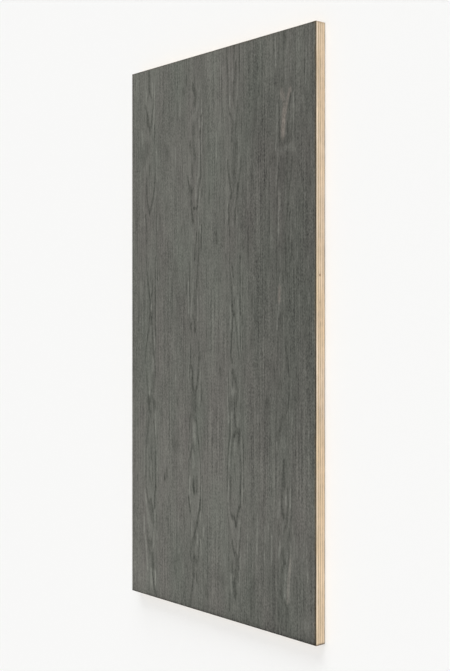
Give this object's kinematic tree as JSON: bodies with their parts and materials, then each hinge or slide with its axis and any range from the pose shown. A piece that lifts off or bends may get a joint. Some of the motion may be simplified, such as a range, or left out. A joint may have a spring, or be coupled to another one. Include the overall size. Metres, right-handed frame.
{
  "type": "wood panel",
  "caption": "Flat rectangular plywood panel, dark grey stained veneer on both faces, bare layered edges, eased arrises.",
  "frame": {"origin": "middle of the underside, with the panel lying flat and its decorative face up", "axes": "+Y along the face grain and the panel's length, +X across it, +Z out of the decorative face"},
  "size_m": [0.61, 1.22, 0.025],
  "materials": {
    "stained_veneer": "open-grained decorative veneer, stained dark grey, matt sealer",
    "long_grain_ply": "bare light plywood core veneer, grain along the panel, sawn and sanded edge",
    "cross_grain_ply": "bare light plywood core veneer, grain across the panel, sawn and sanded edge"
  },
  "bodies": {
    "root": {"back_leaf_1": "stained_veneer", "back_leaf_2": "stained_veneer", "back_leaf_3": "stained_veneer", "back_leaf_4": "stained_veneer", "core_ply_1": "long_grain_ply", "core_ply_2": "cross_grain_ply", "core_ply_3": "long_grain_ply", "core_ply_4": "cross_grain_ply", "core_ply_5": "long_grain_ply", "core_ply_6": "cross_grain_ply", "core_ply_7": "long_grain_ply", "face_leaf_1": "stained_veneer", "face_leaf_2": "stained_veneer", "face_leaf_3": "stained_veneer", "face_leaf_4": "stained_veneer"}
  },
  "joints": []
}
